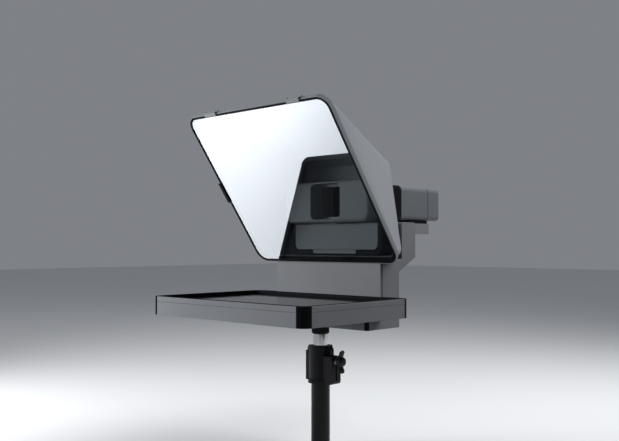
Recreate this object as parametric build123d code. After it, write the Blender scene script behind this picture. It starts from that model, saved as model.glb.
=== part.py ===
from build123d import *
import math
import os

os.makedirs("parts", exist_ok=True)

# Millimetres. X runs across the prompter, Y runs from the reader to the camera, Z is up.
# The origin is the centre of the cut lower end of the stand tube.

# display tray
TRAY_W = 220.0
TRAY_FRONT = -140.0
TRAY_REAR = 12.0
TRAY_TOP = 160.0
TRAY_T = 19.0
TRAY_R = 9.7
TRAY_WALL = 3.0
BEZEL_T = 5.5
RIM = 6.0
GLASS_DROP = 3.0
GUARD_T = 1.5

# base box and neck
NECK_W = 150.0
NECK_FRONT = 8.5
NECK_REAR = 40.0
COVER_T = 2.0
COVER_GAP = 1.2
BASE_FRONT = -13.0
BASE_BOTTOM = 127.0
BASE_R = 3.6
SHELL = 2.5
ARM_SLOT_W = 52.2
NECK_TOP = 198.3
ARM_FRONT = 44.8
ARM_REAR = 68.8
ARM_TOP = 237.0
ARM_LOW = 200.0
ARM_KINK = 184.7
SOCKET_X = 51.0

# mirror frame: the front face leans forward by this angle from the horizontal
LEAN = 54.4
FRAME_W = 203.0
FRAME_L = 190.0
FRAME_R = 14.0
FRAME_Y = 7.0
FRAME_Z = 194.0
FRAME_DEPTH = 4.5
RING_T = 0.9
PANE_T = 2.0
SEAT_DEPTH = 2.8
SEAT_RIM = 2.2
LEDGE_W = 2.0
PANE_SUNK = 0.4
TOP_CLIP_X = 60.0
TOP_CLIP_L = 17.0
SIDE_CLIP_L = 25.0
CLIP_T = 1.0
CLIP_REACH = 3.4
CLIP_PIN_R = 0.6
CLIP_PIN_DEEP = 3.0
CLIP_LUG_W = 1.5

# hood
HOOD_REAR = 44.0
HOOD_LOW = 200.0
HOOD_HIGH = 303.5
HOOD_LOW_W = 153.0
HOOD_HIGH_W = 118.0
HOOD_REAR_R = 9.0
HOOD_WALL = 2.0
HOOD_STEP = 0.15
HOOD_LIFT = 2.4

# backplate, lens housing and light shroud
BLOCK_W = 131.0
BLOCK_FRONT = 23.0
BLOCK_LOW = 202.3
BLOCK_HIGH = 236.9
BLOCK_R = 9.0
BLOCK_WALL = 2.6
DOOR_W = 120.0
DOOR_LOW = 208.0
DOOR_T = 2.0
DOOR_PIN_R = 0.8
DOOR_PIN_Z = 235.2
TAB_W = 62.0
TAB_LOW = 203.5
CATCH_W = 40.0
CATCH_Y = 26.6
CATCH_TOP = 210.0
BAND_W = 124.0
BAND_FRONT = 7.0
BAND_REAR = 35.0
BAND_LOW = 237.3
BAND_HIGH = 282.0
BAND_R = 11.0
WINDOW_W = 43.0
WINDOW_LOW = 240.5
WINDOW_HIGH = 279.5
SHROUD_W = 42.0
SHROUD_IN = 39.8
SHROUD_END = 116.5

# camera on its rail
CAM_W = 39.0
CAM_Z = 261.6
CAM_FRONT = 93.0
CAM_SPLIT = 114.0
CAM_SEAM = 172.0
CAM_SEAM_GAP = 0.8
CAM_WALL = 2.0
CAM_REAR = 197.5
CAM_R = 5.0
RAIL_W = 40.0
RAIL_LOW = 226.0
RAIL_HIGH = 238.4
RAIL_FRONT = 47.0
RAIL_REAR = 175.0
CAM_SCREW_Y = 145.0
BOSS_R = 6.0
LOCK_Y = 57.0
LOCK_Z = 231.6

# stand
TUBE_R = 10.0
TUBE_IN = 8.6
TUBE_SHOULDER = 66.0
TUBE_TOP = 70.0
SPIGOT_R = 9.6
COLLAR_LOW = 66.2
COLLAR_TOP = 105.5
COLLAR_R = 12.2
LUG_OUT = 22.5
LUG_HALF = 7.0
EAR_X = 12.5
EAR_Z = 98.0
EAR_W = 9.0
EAR_H = 15.0
EAR_SLOT_W = 3.4
EAR_SLOT_H = 8.5
BUSH_R = 10.2
MAST_R = 8.0
MAST_WALL = 1.5
MAST_LOW = 20.0
MAST_TOP = 118.0
CLAMP_Z = 90.5
CLAMP_R = 3.0
KNOB_X = 26.5
KNOB_L = 7.0
KNOB_HUB_R = 5.5
WING_HALF = 12.0
SPLIT_HALF = 1.0
STUD_R = 3.175
STUD_TOP = 136.5

# small screws: shank, pilot hole, head and its pocket
SHANK_R = 1.5
PILOT_R = 1.6
HEAD_R = 3.0
POCKET_R = 3.2
POST_R = 3.5

FIT = 0.06
GAP = 0.3


def block(x, y, z):
    """A plain box from three (low, high) pairs."""
    size = (x[1] - x[0], y[1] - y[0], z[1] - z[0])
    mid = ((x[0] + x[1]) / 2, (y[0] + y[1]) / 2, (z[0] + z[1]) / 2)
    return Pos(*mid) * Box(*size)


def wide(w, y, z):
    """A plain box centred across the width."""
    return block((-w / 2, w / 2), y, z)


def rod(r, z0, z1, x=0.0, y=0.0):
    """An upright cylinder."""
    return Pos(x, y, (z0 + z1) / 2) * Cylinder(r, z1 - z0)


def rod_y(r, y0, y1, x, z):
    """A cylinder that runs front to back."""
    return Pos(x, (y0 + y1) / 2, z) * Rot(90, 0, 0) * Cylinder(r, y1 - y0)


def rod_x(r, x0, x1, y, z):
    """A cylinder that runs across."""
    return Pos((x0 + x1) / 2, y, z) * Rot(0, 90, 0) * Cylinder(r, x1 - x0)


def plan(sketch, z0, z1):
    """A sketch in plan, raised between two heights."""
    return extrude(Pos(0, 0, z0) * sketch, z1 - z0)


def square_tube(side, radius, y0, y1, z=CAM_Z, height=None):
    """A bar of rounded rectangular section that runs front to back."""
    face = Plane((0, y0, z), x_dir=(1, 0, 0), z_dir=(0, 1, 0))
    return extrude(face * RectangleRounded(side, height or side, radius), y1 - y0)


def side_profile(points, width):
    """A closed outline in the Y-Z plane, pulled out to both sides of the centre."""
    face = Plane((0, 0, 0), x_dir=(0, 1, 0), z_dir=(1, 0, 0)) * make_face(Polyline(*points, close=True))
    return extrude(face, width / 2, both=True)


def mirror_plane(behind=0.0):
    """The plane of the mirror's front face: x across, y up the slope, z out to the reader."""
    lean = math.radians(LEAN)
    normal = Vector(0, -math.sin(lean), -math.cos(lean))
    return Plane(Vector(0, FRAME_Y, FRAME_Z) - normal * behind, x_dir=(1, 0, 0), z_dir=normal)


def mirror_slab(inset, front, back):
    """A rounded plate in the mirror's plane, from a height before the face to a depth behind it."""
    shape = RectangleRounded(FRAME_W - 2 * inset, FRAME_L - 2 * inset, FRAME_R - inset)
    return extrude(mirror_plane(back) * Pos(0, FRAME_L / 2) * shape, back + front)


# ---- stand ----

def stand_tube():
    """The outer tube, necked down at its top to go into the collar."""
    shape = rod(TUBE_R, 0, TUBE_SHOULDER) + rod(SPIGOT_R, TUBE_SHOULDER, TUBE_TOP)
    return shape - rod(TUBE_IN, 0, TUBE_TOP)


def collar_ear(side):
    """A slotted finger loop at the top of the collar."""
    face = Plane((0, LUG_HALF / 3, 0), x_dir=(1, 0, 0), z_dir=(0, -1, 0))
    loop = Pos(side * EAR_X, EAR_Z) * RectangleRounded(EAR_W, EAR_H, EAR_W / 2 - 0.1)
    slot = Pos(side * (EAR_X + 1.2), EAR_Z) * RectangleRounded(EAR_SLOT_W, EAR_SLOT_H, EAR_SLOT_W / 2 - 0.1)
    return extrude(face * (loop - slot), 2 * LUG_HALF / 3)


def stand_collar():
    """The cast collar: barrel, split clamp lug, flat flank and two finger loops."""
    shape = rod(COLLAR_R, COLLAR_LOW, COLLAR_TOP)
    shape += rod(COLLAR_R + 1.2, COLLAR_LOW, COLLAR_LOW + 4)
    shape += rod(COLLAR_R + 0.8, COLLAR_TOP - 3, COLLAR_TOP)
    lug = block((8, LUG_OUT), (-LUG_HALF, LUG_HALF), (COLLAR_LOW, CLAMP_Z + CLAMP_R + 2))
    shape += fillet(lug.edges().filter_by(Axis.Y), 3)
    shape += block((-17, -8), (-5, 5), (COLLAR_LOW + 2, COLLAR_TOP - 6))
    shape += collar_ear(-1) + collar_ear(1)
    shape -= rod(SPIGOT_R, COLLAR_LOW, TUBE_TOP)
    shape -= rod(BUSH_R, TUBE_TOP, COLLAR_TOP)
    shape -= block((8, LUG_OUT + 1), (-SPLIT_HALF, SPLIT_HALF), (TUBE_TOP, COLLAR_TOP))
    for rivet in collar_rivets():
        shape -= rivet
    return shape - rod_x(CLAMP_R + GAP, 9, LUG_OUT + 1, 0, CLAMP_Z)


def collar_bush():
    """The split plastic sleeve that the mast slides in."""
    sleeve = rod(BUSH_R, TUBE_TOP, COLLAR_TOP) - rod(MAST_R + FIT, TUBE_TOP, COLLAR_TOP)
    split = block((7, 12), (-SPLIT_HALF, SPLIT_HALF), (CLAMP_Z - 10, COLLAR_TOP))
    return sleeve - rod_x(CLAMP_R + GAP, 7, 12, 0, CLAMP_Z) - split


def collar_rivets():
    pins = []
    for side in (-1, 1):
        at = side * (COLLAR_R + 0.8)
        pins.append(rod_y(SHANK_R, at - 1, at + 1, 0, COLLAR_LOW + 2))
    return pins


def clamp_screw():
    return rod_x(CLAMP_R, 9.5, KNOB_X + 2, 0, CLAMP_Z)


def wing_knob():
    hub = rod_x(KNOB_HUB_R, KNOB_X, KNOB_X + KNOB_L, 0, CLAMP_Z)
    wings = block((KNOB_X + 1.5, KNOB_X + 5.5), (-3, 3), (CLAMP_Z - WING_HALF, CLAMP_Z + WING_HALF))
    wings = fillet(wings.edges().filter_by(Axis.X), 2.5)
    return hub + wings - rod_x(CLAMP_R, KNOB_X, KNOB_X + 2, 0, CLAMP_Z)


def mast_tube():
    return rod(MAST_R, MAST_LOW, MAST_TOP) - rod(MAST_R - MAST_WALL, MAST_LOW + 6, MAST_TOP)


def mast_plug():
    return rod(MAST_R - 1.0, MAST_LOW - 2, MAST_LOW)


def mast_cap():
    """The knurled top cap, plugged into the mast."""
    flange = rod(MAST_R + 1.0, MAST_TOP, BASE_BOTTOM - GAP)
    flange = chamfer(flange.edges().filter_by(GeomType.CIRCLE), 0.8)
    plug = rod(MAST_R - MAST_WALL, MAST_TOP - 12, MAST_TOP)
    return flange + plug - rod(STUD_R, MAST_TOP - 12, BASE_BOTTOM)


def mounting_stud():
    return chamfer(rod(STUD_R, MAST_TOP - 12, STUD_TOP).edges().sort_by(Axis.Z)[-1], 0.6)


# ---- base and neck ----

BASE_SCREWS = [(x, -6.0) for x in (-66.0, 66.0)]
NECK_SCREWS = [(x, z) for x in (-64.0, 64.0) for z in (152.0, 178.0)]
HOOD_SCREWS = [(x, y) for x in (-50.0, 50.0) for y in (22.0, 38.0)]


def base_outline():
    depth = NECK_REAR - BASE_FRONT
    mid = (NECK_REAR + BASE_FRONT) / 2
    shape = Pos(0, mid) * Rectangle(NECK_W, depth)
    return fillet(shape.vertices().group_by(Axis.Y)[0], BASE_R)


def base_strip_zone(t):
    """The two rounded front corners of the base box, as a skin of thickness t."""
    skin = plan(base_outline() - offset(base_outline(), -t), BASE_BOTTOM, TRAY_TOP - TRAY_T - 0.2)
    edge = NECK_W / 2
    corners = Sketch() + [
        Pos(s * (edge - BASE_R / 2), BASE_FRONT + BASE_R / 2) * Rectangle(BASE_R, BASE_R) for s in (-1, 1)
    ]
    return skin & plan(corners, BASE_BOTTOM, TRAY_TOP - TRAY_T)


def base_cover():
    top = TRAY_TOP - TRAY_T - 0.2
    shape = plan(base_outline(), BASE_BOTTOM, top)
    shape -= plan(offset(base_outline(), -SHELL), BASE_BOTTOM + SHELL, top)
    for x, y in BASE_SCREWS:
        shape += rod(4, BASE_BOTTOM + 1, top, x, y)
        shape -= rod(PILOT_R, BASE_BOTTOM, top, x, y)
        shape -= rod(POCKET_R, BASE_BOTTOM, BASE_BOTTOM + 2.2, x, y)
    shape -= rod(8.0, BASE_BOTTOM, BASE_BOTTOM + SHELL)
    return shape - base_strip_zone(1.2)


def base_screws():
    screws = []
    for x, y in BASE_SCREWS:
        head = rod(HEAD_R, BASE_BOTTOM + 0.2, BASE_BOTTOM + 2.2, x, y)
        screws.append(head + rod(SHANK_R, BASE_BOTTOM + 2, 143.8, x, y))
    return screws


def thread_insert():
    shape = rod(8.0, BASE_BOTTOM, BASE_BOTTOM + SHELL) + rod(6.5, BASE_BOTTOM + SHELL, 138.5)
    return shape - rod(STUD_R + FIT, BASE_BOTTOM, 138.5)


def neck_outline(inset=0.0):
    """Side outline of the neck and the camera arm, set in by a wall's thickness."""
    front = NECK_FRONT + COVER_T + COVER_GAP
    low = TRAY_TOP - TRAY_T
    d = inset
    return [
        (front + d, low + d),
        (front + d, 196.2 - d),
        (13.5 + d, NECK_TOP - d),
        (ARM_FRONT + d, NECK_TOP - d),
        (ARM_FRONT + d, ARM_TOP - d),
        (ARM_REAR - d, ARM_TOP - d),
        (ARM_REAR - d, ARM_LOW + d * 0.5),
        (NECK_REAR - d, ARM_KINK + d * 0.5),
        (NECK_REAR - d, low + d),
    ]


def neck_housing():
    shape = side_profile(neck_outline(), NECK_W)
    shape = fillet(shape.edges().filter_by(Axis.X).sort_by(Axis.Z)[-2:], 3)
    shape -= side_profile(neck_outline(SHELL), NECK_W - 2 * SHELL)
    shape -= wide(NECK_W - 8, (NECK_FRONT, NECK_FRONT + 6.5), (146, 191))
    shape -= wide(ARM_SLOT_W, (ARM_FRONT - 1, ARM_REAR + 1), (222.3, ARM_TOP + 1))
    shape -= block((SOCKET_X - 5, SOCKET_X + 5), (NECK_REAR - 4, NECK_REAR + 1), (149.6, 153.8))
    shape -= rod_x(2.5 + GAP, -NECK_W / 2 - 1, -70, LOCK_Y, LOCK_Z)
    shape -= wide(84, (29, 37.6), (140, 145))
    for x, z in NECK_SCREWS:
        shape -= rod_y(PILOT_R, 34, NECK_REAR + 1, x, z)
        shape -= rod_y(POCKET_R, NECK_REAR - 1.6, NECK_REAR + 1, x, z)
    for x, y in HOOD_SCREWS:
        shape -= rod(SHANK_R, 190, 200, x, y)
    return shape


def neck_front_cover():
    plate = wide(NECK_W, (NECK_FRONT, NECK_FRONT + COVER_T), (TRAY_TOP - TRAY_T, 194.6))
    for x, z in NECK_SCREWS:
        plate += rod_y(POST_R, NECK_FRONT + 1, 36.8, x, z) - rod_y(PILOT_R, 14, 37, x, z)
    return plate


def neck_screws():
    screws = []
    for x, z in NECK_SCREWS:
        head = rod_y(HEAD_R, NECK_REAR - 1.5, NECK_REAR - 0.2, x, z)
        screws.append(head + rod_y(SHANK_R, 18, NECK_REAR - 1, x, z))
    return screws


def hood_screws():
    screws = []
    for x, y in HOOD_SCREWS:
        screws.append(rod(2.8, 193.6, 195.7, x, y) + rod(1.4, 195, 201.2, x, y))
    return screws


def neck_spine():
    low = BASE_BOTTOM + SHELL + 0.1
    points = [(-4, low + 3), (33, low + 3), (33, 187), (56, 200.5), (56, 222), (59, 222), (59, 199),
              (36, 185.3), (36, low), (-4, low)]
    return side_profile(points, 80) - rod(6.7, 120, 140)


def control_board():
    return block((42, 59.8), (30.4, 32), (146, 184))


def usb_socket():
    x = SOCKET_X
    shell = block((x - 4.4, x + 4.4), (32, NECK_REAR - 0.1), (150, 153.4))
    mouth = block((x - 3.8, x + 3.8), (34, NECK_REAR), (150.6, 152.8))
    return shell - mouth + block((x - 3, x + 3), (33, NECK_REAR - 1.5), (151.4, 152.0))


# ---- display tray ----

def tray_outline():
    depth = TRAY_REAR - TRAY_FRONT
    mid = (TRAY_REAR + TRAY_FRONT) / 2
    notch = Pos(0, TRAY_REAR) * Rectangle(NECK_W + 0.6, 2 * (TRAY_REAR - NECK_FRONT + 0.3))
    return Pos(0, mid) * RectangleRounded(TRAY_W, depth, TRAY_R) - notch


def tray_opening(margin, radius):
    depth = NECK_FRONT - 0.3 - TRAY_FRONT
    mid = (NECK_FRONT - 0.3 + TRAY_FRONT) / 2
    return Pos(0, mid) * RectangleRounded(TRAY_W - 2 * margin, depth - 2 * margin, radius)


def corner_skin(t, z0, z1):
    """The four rounded corners of the tray as a thin skin."""
    depth = TRAY_REAR - TRAY_FRONT
    mid = (TRAY_REAR + TRAY_FRONT) / 2
    outer = Pos(0, mid) * RectangleRounded(TRAY_W, depth, TRAY_R)
    inner = Pos(0, mid) * RectangleRounded(TRAY_W - 2 * t, depth - 2 * t, TRAY_R - t)
    spots = GridLocations(TRAY_W - TRAY_R, depth - TRAY_R, 2, 2)
    corners = Pos(0, mid) * (Sketch() + [spot * Rectangle(TRAY_R, TRAY_R) for spot in spots])
    return plan((outer - inner) & corners, z0, z1)


def display_lower_shell():
    low = TRAY_TOP - TRAY_T
    high = TRAY_TOP - BEZEL_T
    shape = plan(tray_outline(), low, high) - plan(tray_opening(TRAY_WALL, 6), low + TRAY_WALL, high)
    for x, y in BASE_SCREWS:
        shape -= rod(PILOT_R, low, low + TRAY_WALL, x, y)
    return shape - corner_skin(GUARD_T, low, high)


def display_bezel():
    low = TRAY_TOP - BEZEL_T + 0.2
    shape = plan(tray_outline(), low, TRAY_TOP)
    shape = chamfer(shape.edges().group_by(Axis.Z)[-1], 0.5)
    shape -= plan(tray_opening(RIM, 5), low, TRAY_TOP)
    shape -= plan(tray_opening(TRAY_WALL, 6), low, TRAY_TOP - GLASS_DROP)
    return shape - corner_skin(GUARD_T, low, TRAY_TOP)


def corner_guards():
    return corner_skin(GUARD_T - 0.02, TRAY_TOP - TRAY_T, TRAY_TOP - 0.1)


def screen_glass():
    return plan(tray_opening(TRAY_WALL + 0.2, 5.5), TRAY_TOP - GLASS_DROP - 1.4, TRAY_TOP - GLASS_DROP)


def lcd_panel():
    return Pos(0, -66, 152.4) * Box(204, 122, 2.6)


def display_backplate():
    return Pos(0, -66, 150.2) * Box(206, 128, 1.2)


def display_board():
    return Pos(0, -60, 147.4) * Box(120, 60, 1.6)


# ---- mirror and hood ----

# carries a shape from the middle of the frame's top edge to the middle of its left edge
LEFT_EDGE = Pos(-FRAME_W / 2, FRAME_L / 2) * Rot(0, 0, 90) * Pos(0, -FRAME_L)


def clip_lugs(along):
    """The two lugs that a clip of the given length turns between, at the middle of the frame's top edge."""
    lugs = []
    for side in (-1, 1):
        at = side * (along / 2 + GAP + CLIP_LUG_W / 2)
        lugs.append(Pos(at, FRAME_L + 0.8, -CLIP_PIN_DEEP) * Box(CLIP_LUG_W, 2.6, 2.4))
    pin_hole = Pos(0, FRAME_L + CLIP_T, -CLIP_PIN_DEEP) * Rot(0, 90, 0) * Cylinder(CLIP_PIN_R + FIT, along + 9)
    return lugs[0] + lugs[1] - pin_hole


def hood_front_ring():
    """The thin outer band of the frame, with the clips' lugs on it."""
    ring = mirror_slab(0, 0, FRAME_DEPTH)
    for side in (-1, 1):
        ring += mirror_plane() * Pos(side * TOP_CLIP_X, 0) * clip_lugs(TOP_CLIP_L)
    ring += mirror_plane() * LEFT_EDGE * clip_lugs(SIDE_CLIP_L)
    return ring - mirror_slab(RING_T, 0, FRAME_DEPTH)


def mirror_frame():
    """The flat front face of the frame, with the ledge that the pane lies on."""
    shape = mirror_slab(RING_T, GAP, FRAME_DEPTH - GAP)
    shape -= mirror_slab(RING_T + SEAT_RIM, GAP, SEAT_DEPTH)
    return shape - mirror_slab(RING_T + SEAT_RIM + LEDGE_W, GAP, FRAME_DEPTH - GAP)


def beam_splitter_glass():
    return mirror_slab(RING_T + SEAT_RIM + 0.1, -PANE_SUNK, PANE_SUNK + PANE_T)


def pane_gasket():
    front = PANE_SUNK + PANE_T + 0.02
    pad = mirror_slab(RING_T + SEAT_RIM + 0.2, -front, SEAT_DEPTH)
    return pad - mirror_slab(RING_T + SEAT_RIM + LEDGE_W, -front, SEAT_DEPTH)


def hood_section(behind, inset):
    """The hood's front outline, parallel to the mirror and clear of the neck at its lower edge."""
    half, low, high = FRAME_W / 2 - inset, HOOD_LIFT + inset, FRAME_L - inset
    base = Polygon((-half, low), (half, low), (half, high), (-half, high), align=None)
    return mirror_plane(behind) * fillet(base.vertices(), FRAME_R - inset)


def rear_section(inset, y=HOOD_REAR):
    """The hood's rear outline, an upright trapezoid that narrows upwards."""
    low, high = HOOD_LOW_W / 2 - inset, HOOD_HIGH_W / 2 - inset
    z0, z1 = HOOD_LOW + inset, HOOD_HIGH - inset
    base = Polygon((-low, z0), (low, z0), (high, z1), (-high, z1), align=None)
    face = Plane((0, y, 0), x_dir=(1, 0, 0), z_dir=(0, -1, 0))
    return face * fillet(base.vertices(), HOOD_REAR_R - inset)


def hood_solid(inset):
    return loft([hood_section(FRAME_DEPTH, HOOD_STEP + inset), rear_section(inset)], ruled=True)


def hood_shell():
    shape = hood_solid(0) - hood_solid(HOOD_WALL)
    for x, y in HOOD_SCREWS:
        shape -= rod(1.4, 195, 201.2, x, y)
    return shape


def hood_rear_panel():
    plate = extrude(rear_section(HOOD_WALL), HOOD_WALL, dir=(0, -1, 0))
    plate -= backplate_bar(HOOD_REAR - 3, HOOD_REAR + 1, HOOD_LOW, 0.2)
    return plate - wide(41, (40, 46), (BLOCK_HIGH, 283))


def backplate_bar(y0, y1, low, margin=0.0):
    """The backplate's outline, rounded at its two lower corners, pulled from front to back."""
    half, high = BLOCK_W / 2 + margin, BLOCK_HIGH + margin
    face = Plane((0, y0, 0), x_dir=(1, 0, 0), z_dir=(0, -1, 0))
    outline = Polygon((-half, low), (half, low), (half, high), (-half, high), align=None)
    return extrude(face * fillet(outline.vertices().group_by(Axis.Y)[0], BLOCK_R), y1 - y0, dir=(0, 1, 0))


def backplate():
    z0, z1 = BLOCK_LOW, BLOCK_HIGH
    shape = backplate_bar(BLOCK_FRONT, HOOD_REAR, BLOCK_LOW)
    cavity = wide(BLOCK_W - 20, (BLOCK_FRONT + BLOCK_WALL, HOOD_REAR), (z0 + 2, z1))
    door_hole = wide(DOOR_W + 1.6, (BLOCK_FRONT - 1, BLOCK_FRONT + BLOCK_WALL), (DOOR_LOW - 0.8, z1))
    tab_hole = wide(TAB_W + 1.0, (BLOCK_FRONT - 1, BLOCK_FRONT + 3.9), (z0 - 1, DOOR_LOW))
    pin_hole = rod_x(DOOR_PIN_R + FIT, -DOOR_W / 2 - 3, DOOR_W / 2 + 3, BLOCK_FRONT + DOOR_T / 2, DOOR_PIN_Z)
    return shape - cavity - door_hole - tab_hole - pin_hole


def lower_door():
    """The lower door, rounded all along the edge that it turns about."""
    plate = wide(DOOR_W, (BLOCK_FRONT, BLOCK_FRONT + DOOR_T), (DOOR_LOW, DOOR_PIN_Z))
    plate = fillet(plate.edges().filter_by(Axis.Y).group_by(Axis.Z)[0], 6)
    reach = DOOR_W / 2 + 2.6
    half_t = DOOR_T / 2
    plate += rod_x(half_t, -DOOR_W / 2, DOOR_W / 2, BLOCK_FRONT + half_t, DOOR_PIN_Z)
    return plate + rod_x(DOOR_PIN_R, -reach, reach, BLOCK_FRONT + half_t, DOOR_PIN_Z)


def latch_tab():
    grip = wide(TAB_W, (BLOCK_FRONT - 1, BLOCK_FRONT + 1.6), (TAB_LOW, DOOR_LOW - 0.4))
    grip = fillet(grip.edges().filter_by(Axis.Y), 1.2)
    arm = wide(CATCH_W, (BLOCK_FRONT + 1.6, CATCH_Y), (TAB_LOW, BLOCK_LOW + 4))
    arm += wide(CATCH_W, (BLOCK_FRONT + 2.4, CATCH_Y), (BLOCK_LOW + 3, CATCH_TOP))
    return grip + arm + wide(CATCH_W, (CATCH_Y, CATCH_Y + 3.4), (CATCH_TOP - 1.2, CATCH_TOP))


def latch_springs():
    springs = []
    for x in (-15.0, 15.0):
        springs.append(rod(1.2, BLOCK_LOW + 2.0, CATCH_TOP - 1.2, x, CATCH_Y + 1.8))
    return springs


def lens_housing():
    depth = BAND_REAR - BAND_FRONT
    z_mid, height = (BAND_LOW + BAND_HIGH) / 2, BAND_HIGH - BAND_LOW
    face = Plane((0, BAND_FRONT, z_mid), x_dir=(1, 0, 0), z_dir=(0, -1, 0))
    shape = extrude(face * RectangleRounded(BAND_W, height, BAND_R), depth, dir=(0, 1, 0))
    shape = fillet(shape.faces().sort_by(Axis.Y)[0].outer_wire().edges(), 5)
    cavity = extrude(face * RectangleRounded(BAND_W - 2 * SHELL, height - 2 * SHELL, BAND_R - SHELL), depth, dir=(0, 1, 0))
    shape -= Pos(0, SHELL, 0) * cavity
    w_mid, w_high = (WINDOW_LOW + WINDOW_HIGH) / 2, WINDOW_HIGH - WINDOW_LOW
    shape += square_tube(WINDOW_W + 3, 7, BAND_FRONT + 1, HOOD_REAR - HOOD_WALL - 0.2, w_mid, w_high + 3)
    return shape - square_tube(WINDOW_W, 6, BAND_FRONT - 1, HOOD_REAR, w_mid, w_high)


def window_ring():
    w_mid, w_high = (WINDOW_LOW + WINDOW_HIGH) / 2, WINDOW_HIGH - WINDOW_LOW
    ring = square_tube(WINDOW_W - 0.1, 5.9, 20, 22.4, w_mid, w_high - 0.1)
    return ring - square_tube(WINDOW_W - 6, 4, 20, 22.4, w_mid, w_high - 6)


def light_shroud():
    sleeve = square_tube(SHROUD_W, 6.5, HOOD_REAR + 0.1, SHROUD_END)
    flange = wide(50, (HOOD_REAR + 0.1, HOOD_REAR + 2.1), (ARM_TOP + 1.9, 287))
    return sleeve + flange - square_tube(SHROUD_IN, 5.4, HOOD_REAR, SHROUD_END)


def clip(along):
    """A flip-up retaining clip, hooked over the middle of the frame's top edge, with its hinge pin."""
    lip = Pos(0, FRAME_L + CLIP_T - CLIP_REACH / 2, 0.75) * Box(along, CLIP_REACH, 0.8)
    lip = fillet(lip.edges().filter_by(Axis.Z).group_by(Axis.Y)[0], 0.9)
    plate_deep = CLIP_PIN_DEEP + 1.15
    plate = Pos(0, FRAME_L + CLIP_T, 1.15 - plate_deep / 2) * Box(along, CLIP_T, plate_deep)
    pin_l = along + 2 * (GAP + CLIP_LUG_W)
    pin = Pos(0, FRAME_L + CLIP_T, -CLIP_PIN_DEEP) * Rot(0, 90, 0) * Cylinder(CLIP_PIN_R, pin_l)
    return lip + plate + pin


def top_clip(side):
    return mirror_plane() * Pos(side * TOP_CLIP_X, 0) * clip(TOP_CLIP_L)


def side_clip():
    return mirror_plane() * LEFT_EDGE * clip(SIDE_CLIP_L)


# ---- camera ----

def rail_guide():
    shape = wide(ARM_SLOT_W - 0.2, (ARM_FRONT + 0.2, ARM_REAR - 0.3), (222.5, ARM_TOP - 0.1))
    shape -= wide(RAIL_W + 2 * GAP, (40, 70), (RAIL_LOW - GAP, ARM_TOP))
    for side in (-1, 1):
        inner, outer = side * (RAIL_W / 2 - 1.5), side * (RAIL_W / 2 + GAP)
        x = (min(inner, outer), max(inner, outer))
        shape += block(x, (ARM_FRONT + 0.2, ARM_REAR - 0.3), (231.4, 233.0))
    return shape - rod_x(2.5 + GAP, -27, -RAIL_W / 2 - GAP, LOCK_Y, LOCK_Z)


def camera_rail():
    shape = wide(RAIL_W, (RAIL_FRONT, RAIL_REAR), (RAIL_LOW, RAIL_HIGH))
    shape = fillet(shape.edges().filter_by(Axis.Z).group_by(Axis.Y)[-1], 3)
    for side in (-1, 1):
        groove = block((18.1, 20.1), (RAIL_FRONT - 1, 96), (231.1, 233.3))
        shape -= groove if side > 0 else mirror(groove, Plane.YZ)
    return shape - rod(3.6, RAIL_LOW, RAIL_HIGH, 0, CAM_SCREW_Y)


def camera_pad():
    pad = wide(34, (136, 173), (RAIL_HIGH, CAM_Z - CAM_W / 2))
    return pad - rod(3.6, RAIL_HIGH, 243, 0, CAM_SCREW_Y)


def camera_inside(y0, y1):
    """The hollow of the camera's square shell between two depths."""
    return square_tube(CAM_W - 2 * CAM_WALL, CAM_R - CAM_WALL, y0, y1)


def camera_front():
    shape = square_tube(CAM_W, CAM_R, CAM_FRONT, CAM_SPLIT - 0.1)
    shape = fillet(shape.faces().sort_by(Axis.Y)[0].outer_wire().edges(), 2)
    shape -= camera_inside(CAM_FRONT + 3, CAM_SPLIT)
    return shape - rod_y(13.1, CAM_FRONT - 1, CAM_FRONT + 4, 0, CAM_Z)


def camera_body():
    shape = square_tube(CAM_W, CAM_R, CAM_SPLIT, CAM_SEAM - CAM_SEAM_GAP)
    shape += square_tube(CAM_W - 2, CAM_R - 1, CAM_SEAM - 3, CAM_SEAM - 0.1)
    shape -= camera_inside(CAM_SPLIT, CAM_SEAM)
    return shape - rod(BOSS_R + 0.02, 240, 246, 0, CAM_SCREW_Y)


def camera_rear_cap():
    shape = square_tube(CAM_W, CAM_R, CAM_SEAM, CAM_REAR)
    shape = fillet(shape.faces().sort_by(Axis.Y)[-1].outer_wire().edges(), 4.5)
    shape -= camera_inside(CAM_SEAM, CAM_REAR - 2.5)
    return shape - block((-5, 5), (190, 200), (CAM_Z - 12, CAM_Z - 8))


def camera_socket():
    shell = block((-4.5, 4.5), (188, 197), (CAM_Z - 11.7, CAM_Z - 8.3))
    return shell - block((-3.9, 3.9), (190, 198), (CAM_Z - 11.1, CAM_Z - 8.9))


def lens_barrel():
    shape = rod_y(13.0, CAM_FRONT + 0.5, 112, 0, CAM_Z) - rod_y(9.5, CAM_FRONT, 104, 0, CAM_Z)
    return shape - rod_y(6, 100, 113, 0, CAM_Z)


def front_lens():
    dome = Pos(0, CAM_FRONT + 22.3, CAM_Z) * Sphere(21)
    return rod_y(9.4, CAM_FRONT + 1, CAM_FRONT + 5, 0, CAM_Z) & dome


def rear_lens():
    return rod_y(5.9, 105, 108, 0, CAM_Z)


def sensor_board():
    return Pos(0, 117, CAM_Z) * Box(33, 1.6, 33) + Pos(0, 115.7, CAM_Z) * Box(9, 1.0, 7)


def camera_boss():
    shape = rod(BOSS_R, CAM_Z - CAM_W / 2, 251, 0, CAM_SCREW_Y)
    return shape - rod(STUD_R + FIT, CAM_Z - CAM_W / 2, 250, 0, CAM_SCREW_Y)


def camera_screw():
    knob = rod(9, 214, RAIL_LOW - GAP, 0, CAM_SCREW_Y)
    knob = chamfer(knob.edges().filter_by(GeomType.CIRCLE), 1)
    return knob + rod(STUD_R, 225, 249, 0, CAM_SCREW_Y)


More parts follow.
